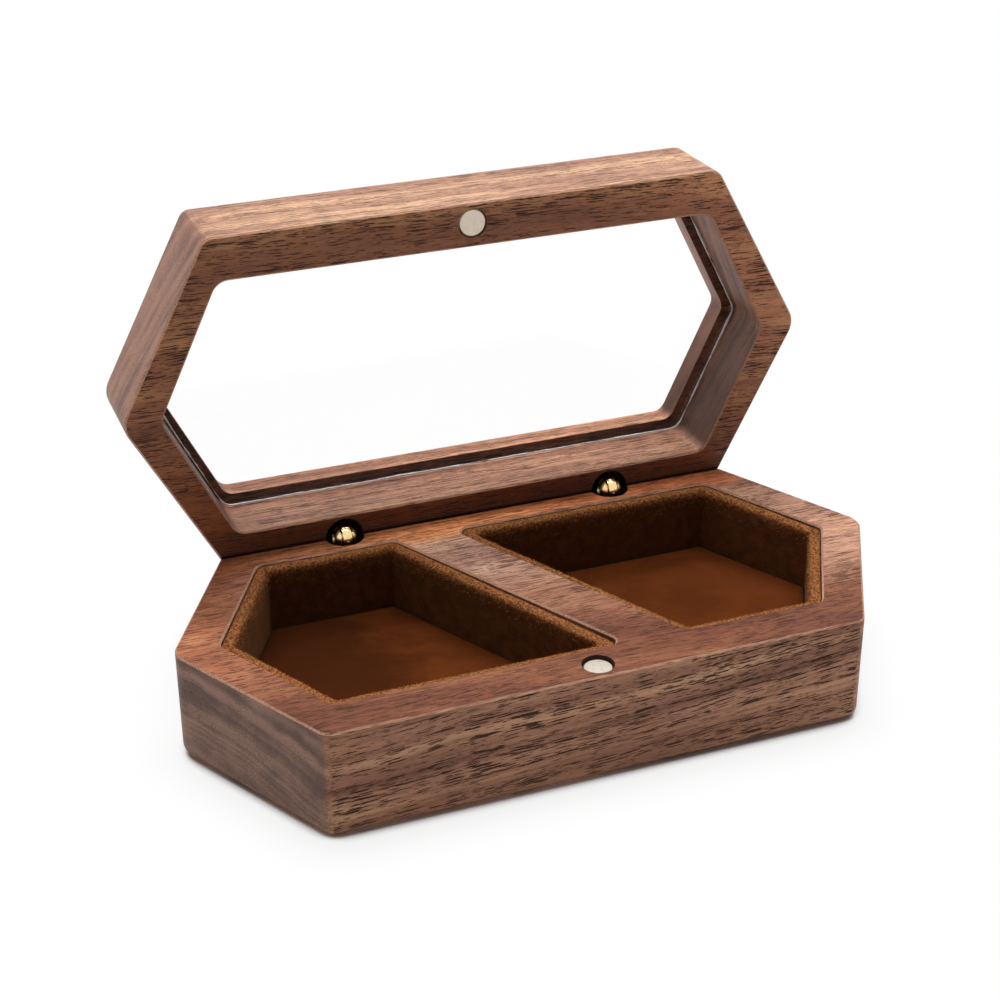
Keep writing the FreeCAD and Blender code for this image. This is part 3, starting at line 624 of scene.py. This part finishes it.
MATERIALS = {
    "base_wood": Walnut("walnut_base", BASE_WOOD).oiled(),
    "lid_wood": Walnut("walnut_lid", LID_WOOD).oiled(),
    "felt": felt("felt_brown", FELT_DARK, FELT_LIGHT),
    # A lighter copy of the felt: painted light on the crown's fibres
    "nap": felt("felt_nap", NAP_DARK, NAP_LIGHT),
    "suede": suede("suede_caramel"),
    "brass": metal("brass_polished", (0.93, 0.70, 0.34), (0.76, 0.52, 0.21), rough=0.17,
                   grain=(6.0, 1.0, 6.0), depth=0.004, hole_shade=0.95),
    # The two magnets share one nickel plating; the base magnet's darker copy is painted shade that
    # dims its reflection
    "nickel": metal("nickel_base", (0.45, 0.40, 0.34), (0.29, 0.25, 0.20), rough=0.50,
                    grain=(5.0, 5.0, 5.0), depth=0.03),
    "lid_nickel": metal("nickel_lid", (0.66, 0.58, 0.47), (0.52, 0.45, 0.36), rough=0.50,
                        grain=(5.0, 5.0, 5.0), depth=0.03),
    "steel": metal("pin_steel_drawn", (0.58, 0.57, 0.55), (0.45, 0.43, 0.40), rough=0.28,
                   grain=(0.4, 9.0, 9.0), depth=0.01),
    "card": card("card_grey"),
    "pane": clear_pane("pane_clear"),
    "glue": glue("glue_clear"),
}


def dress(node, material):
    """Give a CAD node its material."""
    for slot in NODES[node].material_slots:
        slot.material = MATERIALS[material]


dress("base_body", "base_wood")
dress("lid_frame", "lid_wood")
dress("window_pane", "pane")
dress("base_magnet", "nickel")
dress("lid_magnet", "lid_nickel")
for side in SIDES:
    dress(side + "_floor_card", "card")
    dress(side + "_hinge_base_barrel", "brass")
    dress(side + "_hinge_lid_barrel", "brass")
    dress(side + "_hinge_pin", "steel")


# ---------------------------------------------------------------- outlines and meshes

def pocket_corners(side, inset):
    """Corners of a pocket in millimetres, moved in by the inset; anticlockwise from above."""
    point_x = POCKET_HALF_LENGTH - SIDE_STRETCH * inset
    edge_y = POCKET_HALF_DEPTH - inset
    lean = SIDE_RUN * edge_y
    corner_x = point_x - lean
    divider_x = DIVIDER_HALF_RUN + SIDE_STRETCH * inset
    left = [(-corner_x, edge_y), (-point_x, 0), (-corner_x, -edge_y),
            (lean - divider_x, -edge_y), (-lean - divider_x, edge_y)]
    turn = 1 if side == "left" else -1
    return [Vector((turn * x, turn * y)) for x, y in left]


def rebate_corners(inset):
    """Corners of the lid's rebate in millimetres, moved in by the inset."""
    point_x = REBATE_HALF_LENGTH - REBATE_STRETCH * inset
    edge_y = REBATE_HALF_DEPTH - inset
    corner_x = point_x - REBATE_RUN * edge_y
    right = [(corner_x, -edge_y), (point_x, 0), (corner_x, edge_y)]
    return [Vector(c) for c in right + [(-x, -y) for x, y in right]]


def following(points):
    """The points of a closed outline, each moved on by one."""
    return points[1:] + points[:1]


def loop_counts(corners, step):
    """How many runs each side of an outline is divided into."""
    return [max(2, round((b - a).length / step)) for a, b in zip(corners, following(corners))]


def rounded_loop(corners, radius, counts, bends=6):
    """Points round an outline with rounded corners; each corner's arc, then the side after it."""
    arcs = []
    for index, corner in enumerate(corners):
        to_last = (corners[index - 1] - corner).normalized()
        to_next = (corners[(index + 1) % len(corners)] - corner).normalized()
        half = to_last.angle(to_next) / 2
        middle = corner + (to_last + to_next).normalized() * (radius / math.sin(half))
        start = corner + to_last * (radius / math.tan(half)) - middle
        end = corner + to_next * (radius / math.tan(half)) - middle
        sweep = start.angle_signed(end)
        arc = []
        for bend in range(bends + 1):
            turned = start.copy()
            turned.rotate(Matrix.Rotation(-sweep * bend / bends, 2))
            arc.append(middle + turned)
        arcs.append(arc)
    points = []
    for arc, next_arc, count in zip(arcs, following(arcs), counts):
        points += arc
        points += [arc[-1].lerp(next_arc[0], run / count) for run in range(1, count)]
    return points


def ring_faces(rings, count, first=0):
    """Quads between closed rings of points that follow each other."""
    faces = []
    for ring in range(rings - 1):
        low, high = first + ring * count, first + (ring + 1) * count
        for index in range(count):
            after = (index + 1) % count
            faces.append((low + index, low + after, high + after, high + index))
    return faces


def tube_faces(rings, count):
    """Quads between closed rings, with the last ring joined to the first."""
    last = (rings - 1) * count
    joint = [(last + i, last + (i + 1) % count, (i + 1) % count, i) for i in range(count)]
    return ring_faces(rings, count) + joint


def uneven(point, seed, waves):
    """Smooth noises added up at a point; a wave is a height, a scale and a step of the seed."""
    total = 0.0
    for height, scale, step in waves:
        shift = seed + step
        place = Vector((point.x * scale + shift, point.y * scale - shift, point.z * scale))
        total += height * noise.noise(place)
    return total


def add_piece(name, points, faces, material, body, slot):
    """A smooth mesh piece from points in millimetres, on its body."""
    mesh = bpy.data.meshes.new(name)
    mesh.from_pydata([tuple(point * MM) for point in points], [], faces)
    mesh.polygons.foreach_set("use_smooth", [True] * len(mesh.polygons))
    mesh.materials.append(MATERIALS[material])
    mesh.update()
    piece = bpy.data.objects.new(name, mesh)
    bpy.context.scene.collection.objects.link(piece)
    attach(piece, body)
    return piece


# ---------------------------------------------------------------- felt strips

# Levels, insets from the pocket's wall, corner radii and step along the outline, in millimetres
STRIP_FOOT, STRIP_TOP = 5.8, 18.36
STRIP_HEIGHT = STRIP_TOP - STRIP_FOOT
STRIP_OUTER, STRIP_INNER = 0.1, 2.05
STRIP_OUTER_ROUND, STRIP_INNER_ROUND = 1.5, 0.7
STRIP_STEP = 0.5
# Section of the strip from its outer foot over the crown to its inner foot:
# share of the way across, and drop from the top in millimetres
OUTSIDE = [(0.0, STRIP_HEIGHT), (0.0, STRIP_HEIGHT / 2)]
CROWN = [(0.0, 0.5), (0.02, 0.25), (0.08, 0.08), (0.2, 0.0), (0.4, 0.0),
         (0.6, 0.03), (0.77, 0.12), (0.9, 0.32), (0.97, 0.65), (1.0, 1.2)]
INSIDE = [(1.0, drop) for drop in (2.0, 3.2, 4.6, 6.2, 8.0, 9.6, 11.0, STRIP_HEIGHT)]
# The felt swells and sags in waves, less near its outside, and is thinned by STRIP_THIN.
# Its crown lies STRIP_SETTLE lower, and lower still at the front and higher at the back.
STRIP_SWELL = [(0.07, 0.35, 0), (0.05, 1.3, 5)]
STRIP_SAG = [(0.07, 0.5, 9), (0.05, 1.7, 3)]
STRIP_SOFTEN, STRIP_THIN = 3, 0.05
STRIP_LEAN, STRIP_SETTLE = 0.28, 0.08

# Fibres of the nap: length and half width in millimetres, knee and tip as shares of the length
NAP_COUNT = 7000
NAP_LENGTH, NAP_WIDTH = (0.16, 0.42), (0.025, 0.045)
NAP_KNEE, NAP_TIP, NAP_TAPER = 0.55, 0.45, 0.7
NAP_LEAN, NAP_BEND, NAP_FLATTEN = 0.75, 0.6, 0.5
NAP_UNDERSIDE = -0.2


def strip_rings(outer, inner, seed):
    """Rings of points up the outside of a strip, over its soft crown and down the inside."""
    rings = []
    for share, drop in OUTSIDE + CROWN + INSIDE:
        ring = []
        for near, far in zip(outer, inner):
            flat = near.lerp(far, share)
            point = Vector((flat.x, flat.y, STRIP_TOP - drop))
            inward = Vector(((far - near).x, (far - near).y, 0)).normalized()
            soft = min(1.0, share * STRIP_SOFTEN) if drop < STRIP_HEIGHT else 0.0
            swell = uneven(point, seed, STRIP_SWELL) - STRIP_THIN
            lie = STRIP_LEAN * point.y / POCKET_HALF_DEPTH - STRIP_SETTLE
            sag = max(0.0, 1 - drop) * (uneven(point, seed, STRIP_SAG) + lie)
            ring.append(point + inward * soft * swell + Vector((0, 0, sag)))
        rings.append(ring)
    return rings


def wild(chance, upright=1.0):
    """A random direction, not yet of length 1."""
    return Vector((chance.gauss(0, 1), chance.gauss(0, 1), chance.gauss(0, upright)))


def nap_fibres(rings, seed):
    """Short bent fibres on the crown and the top of the inner wall, as points and faces."""
    chance = random.Random(seed)
    count = len(rings[0])
    start = len(OUTSIDE) + 1
    stop = start + len(CROWN)
    points, faces = [], []
    for _ in range(NAP_COUNT):
        ring = chance.uniform(start, stop)
        place = chance.uniform(0, count)
        r, p = int(ring), int(place) % count
        corner, beside, below = rings[r][p], rings[r][(p + 1) % count], rings[r + 1][p]
        root = corner + (beside - corner) * (place % 1) + (below - corner) * (ring % 1)
        normal = (beside - corner).cross(below - corner).normalized()
        if normal.z < NAP_UNDERSIDE:
            normal = -normal
        lean = (normal + NAP_LEAN * wild(chance, NAP_FLATTEN).normalized()).normalized()
        bend = (lean + NAP_BEND * wild(chance)).normalized()
        length = chance.uniform(*NAP_LENGTH)
        width = chance.uniform(*NAP_WIDTH)
        across = lean.cross(wild(chance)).normalized() * width
        knee = root + lean * length * NAP_KNEE
        tip = knee + bend * length * NAP_TIP
        first = len(points)
        points += [root - across, root + across,
                   knee + across * NAP_TAPER, knee - across * NAP_TAPER, tip]
        faces += [(first, first + 1, first + 2, first + 3), (first + 3, first + 2, first + 4)]
    return points, faces


def felt_strip(side, seed):
    """The felt strip that stands round a pocket, with a soft uneven crown, and its nap."""
    outer_corners = pocket_corners(side, STRIP_OUTER)
    counts = loop_counts(outer_corners, STRIP_STEP)
    outer = rounded_loop(outer_corners, STRIP_OUTER_ROUND, counts)
    inner = rounded_loop(pocket_corners(side, STRIP_INNER), STRIP_INNER_ROUND, counts)
    rings = strip_rings(outer, inner, seed)
    points = [point for ring in rings for point in ring]
    faces = tube_faces(len(rings), len(outer))
    strip = add_piece(side + "_felt_strip", points, faces, "felt", "base", "felt")
    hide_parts(side + "_wall_lining")
    nap = add_piece(side + "_felt_nap", *nap_fibres(rings, seed), "nap", "base", "felt")


felt_strip("left", 3)
felt_strip("right", 11)


# ---------------------------------------------------------------- suede floors

# Levels, inset and corner radius in millimetres; the rings crowd towards the edge
SUEDE_FOOT, SUEDE_TOP = 6.8, 7.75
SUEDE_INSET, SUEDE_ROUND = 2.25, 0.6
SUEDE_STEP, SUEDE_RINGS, SUEDE_CROWDING = 0.8, 22, 1.5
SUEDE_WAVES, SUEDE_SINK = [(0.07, 0.12, 0), (0.03, 0.5, 4)], 0.05
SUEDE_ROLL, SUEDE_ROLL_DROP = 0.9, 0.45


def suede_floor(side, seed):
    """The suede sheet on the card: gently uneven, its cut edge rolled down at the wall."""
    corners = pocket_corners(side, SUEDE_INSET)
    edge = rounded_loop(corners, SUEDE_ROUND, loop_counts(corners, SUEDE_STEP))
    count = len(edge)
    middle = sum(edge, Vector((0, 0))) / count
    points = [Vector((middle.x, middle.y, SUEDE_TOP))]
    for ring in range(1, SUEDE_RINGS + 1):
        share = 1 - (1 - ring / SUEDE_RINGS) ** SUEDE_CROWDING
        for place in edge:
            flat = middle.lerp(place, share)
            point = Vector((flat.x, flat.y, SUEDE_TOP))
            roll = max(0.0, 1 - (place - flat).length / SUEDE_ROLL)
            lift = uneven(point, seed, SUEDE_WAVES) - SUEDE_SINK
            points.append(point + Vector((0, 0, lift - SUEDE_ROLL_DROP * roll * roll)))
    faces = [(0, 1 + i, 1 + (i + 1) % count) for i in range(count)]
    faces += [tuple(reversed(face)) for face in ring_faces(SUEDE_RINGS, count, 1)]
    rim = 1 + (SUEDE_RINGS - 1) * count
    foot = len(points)
    points += [Vector((place.x, place.y, SUEDE_FOOT)) for place in edge]
    faces += [(rim + i, foot + i, foot + (i + 1) % count, rim + (i + 1) % count)
              for i in range(count)]
    faces.append(tuple(reversed(range(foot, foot + count))))
    sheet = add_piece(side + "_suede_sheet", points, faces, "suede", "base", "suede")
    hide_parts(side + "_floor_suede")


suede_floor("left", 2)
suede_floor("right", 7)


# ---------------------------------------------------------------- glue line of the pane

# In millimetres; GLUE_STAND is how far the thread's middle stands off the pane, by its thickness
GLUE_INSET, GLUE_ROUND, GLUE_STEP = 0.42, 2.55, 0.45
GLUE_SIDES = 8
GLUE_THICK, GLUE_THINNEST = 0.15, 0.025
GLUE_WAVES = [(0.19, 0.14, 0), (0.09, 0.7, 2)]
GLUE_STRAY = [(0.08, 0.15, 6), (0.04, 0.8, 8)]
GLUE_TO_WALL, GLUE_STAND, GLUE_GAP = 0.05, 0.8, 0.005


def glue_line(seed):
    """The thread of glue in the corner of pane and rebate: thick and thin by turns."""
    corners = rebate_corners(GLUE_INSET)
    path = rounded_loop(corners, GLUE_ROUND, loop_counts(corners, GLUE_STEP))
    count = len(path)
    rings = [[] for _ in range(GLUE_SIDES)]
    for index, place in enumerate(path):
        ahead = path[(index + 1) % count] - path[index - 1]
        across = Vector((-ahead.y, ahead.x, 0)).normalized()
        here = Vector((place.x, place.y, 0))
        thick = max(GLUE_THICK + uneven(here, seed, GLUE_WAVES), GLUE_THINNEST)
        stray = uneven(here, seed, GLUE_STRAY) - GLUE_TO_WALL
        centre = here + across * stray + Vector((0, 0, PANE_LEVEL - GLUE_STAND * thick))
        for turn, ring in enumerate(rings):
            angle = 2 * math.pi * turn / GLUE_SIDES
            point = centre + (across * math.cos(angle) + Vector((0, 0, math.sin(angle)))) * thick
            point.z = min(point.z, PANE_LEVEL - GLUE_GAP)
            ring.append(OPEN_LID @ point)
    points = [point for ring in rings for point in ring]
    faces = [tuple(reversed(face)) for face in tube_faces(GLUE_SIDES, count)]
    line = add_piece("glue_line", points, faces, "glue", "lid", "clear_glue")
    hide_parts("pane_glue_bead")


glue_line(4)


# ---------------------------------------------------------------- stage, light and camera

# Floor: half its side and its gap under the box in metres
FLOOR_HALF, FLOOR_GAP = 2.5, 0.00005
FLOOR_COLOUR, FLOOR_GLOW = (0.9, 0.9, 0.9, 1), 0.16
# How far from the box the floor is painted whiter over its shadow, in millimetres, and how white it
# is meanwhile
SHADOW_NEAR, SHADOW_NEAR_WHITE = (0.0, 14.0), (0.83, 0.99)
SHADOW_FAR = (14.0, 90.0)
CREASE_REACH, CREASE_LEVELS = 4.0, (0.38, 0.72)

WORLD_LEVEL = 0.08
# Lamps: name, place in metres, size in metres and power in watts; both face the target
LAMP_TARGET = (0.0, 0.0, 0.03)
LAMPS = [("key_softbox", (0.05, 0.25, 0.87), (0.85, 0.62), 11.0),
         ("side_softbox", (0.75, 0.20, 0.35), (0.5, 0.5), 0.45)]


def floor_material():
    """White, with a soft shadow that shows deep in the crease under the box; away from it the
    shadow is painted over with white.
    """
    s = Shader("floor_white")
    s.finish(Base_Color=FLOOR_COLOUR, Roughness=0.9, Specular_IOR_Level=0.0,
             Emission_Color=WHITE, Emission_Strength=FLOOR_GLOW)
    at = s.axes(s.folded(s.place()))
    past_side = s.maths("SUBTRACT", at["Y"], BASE_HALF_DEPTH)
    past_end = s.weigh((at["X"], 1 / SIDE_STRETCH), (at["Y"], SIDE_RUN / SIDE_STRETCH))
    past_end = s.maths("SUBTRACT", past_end, BASE_HALF_LENGTH / SIDE_STRETCH)
    away = s.most(past_side, past_end)
    # Painted white over the shadow, more with distance from the box
    white = s.most(s.ramp(away, *SHADOW_NEAR, *SHADOW_NEAR_WHITE), s.ramp(away, *SHADOW_FAR))
    crease = s.add("ShaderNodeAmbientOcclusion", {"Distance": CREASE_REACH * MM}).outputs["AO"]
    white = s.times(white, s.ramp(crease, *CREASE_LEVELS))
    shaded = s.add("ShaderNodeBsdfDiffuse", {"Color": WHITE}).outputs["BSDF"]
    shining = s.add("ShaderNodeEmission", {"Color": WHITE, "Strength": 1.0}).outputs["Emission"]
    shown = s.add("ShaderNodeMixShader", {0: white, 1: shaded, 2: shining}).outputs["Shader"]
    path = s.add("ShaderNodeLightPath").outputs
    seen = s.most(s.most(path["Is Camera Ray"], path["Is Transmission Ray"]), path["Is Glossy Ray"])
    s.cover(seen, shown)
    return s.material


def stage_floor():
    """A plain white floor."""
    signs = ((-1, -1), (1, -1), (1, 1), (-1, 1))
    corners = [(x * FLOOR_HALF, y * FLOOR_HALF, -FLOOR_GAP) for x, y in signs]
    mesh = bpy.data.meshes.new("floor")
    mesh.from_pydata(corners, [], [(0, 1, 2, 3)])
    mesh.materials.append(floor_material())
    floor = bpy.data.objects.new("floor", mesh)
    bpy.context.scene.collection.objects.link(floor)


def studio_world():
    """Even light from all round; what is seen of it directly or in a reflection is white."""
    world = bpy.data.worlds.new("studio")
    bpy.context.scene.world = world
    world.use_nodes = True
    tree = world.node_tree
    tree.nodes.clear()
    output = tree.nodes.new("ShaderNodeOutputWorld")
    both = tree.nodes.new("ShaderNodeMixShader")
    tree.links.new(both.outputs["Shader"], output.inputs["Surface"])
    path = tree.nodes.new("ShaderNodeLightPath")
    seen = path.outputs["Is Camera Ray"]
    for name in ("Is Glossy Ray", "Is Transmission Ray"):
        most = tree.nodes.new("ShaderNodeMath")
        most.operation = "MAXIMUM"
        tree.links.new(seen, most.inputs[0])
        tree.links.new(path.outputs[name], most.inputs[1])
        seen = most.outputs["Value"]
    tree.links.new(seen, both.inputs[0])
    for slot, strength in ((1, WORLD_LEVEL), (2, 1.0)):
        light = tree.nodes.new("ShaderNodeBackground")
        light.inputs["Color"].default_value = WHITE
        light.inputs["Strength"].default_value = strength
        tree.links.new(light.outputs["Background"], both.inputs[slot])


def softbox(name, place, size, power):
    """A soft rectangular lamp that faces the target."""
    lamp = bpy.data.lights.new(name, "AREA")
    lamp.shape = "RECTANGLE"
    lamp.size, lamp.size_y = size
    lamp.energy = power
    box = bpy.data.objects.new(name, lamp)
    bpy.context.scene.collection.objects.link(box)
    box.location = place
    box.rotation_euler = (Vector(LAMP_TARGET) - Vector(place)).to_track_quat("-Z", "Y").to_euler()
    box.visible_camera = False


def photo_camera():
    """The photograph's camera."""
    data = bpy.data.cameras.new("photo_camera")
    data.lens, data.sensor_width, data.sensor_fit = CAMERA_LENS, CAMERA_SENSOR, "HORIZONTAL"
    data.clip_start, data.clip_end = CAMERA_CLIP
    camera = bpy.data.objects.new("photo_camera", data)
    bpy.context.scene.collection.objects.link(camera)
    heading = Matrix.Rotation(math.radians(CAMERA_AZIMUTH), 4, "Z")
    tip = Matrix.Rotation(math.radians(90 - CAMERA_ELEVATION), 4, "X")
    roll = Matrix.Rotation(math.radians(CAMERA_ROLL), 4, "Z")
    camera.matrix_world = Matrix.Translation(Vector(CAMERA_PLACE)) @ heading @ tip @ roll
    bpy.context.scene.camera = camera


stage_floor()
studio_world()
for lamp in LAMPS:
    softbox(*lamp)
photo_camera()
bpy.context.scene.view_settings.view_transform = "Standard"
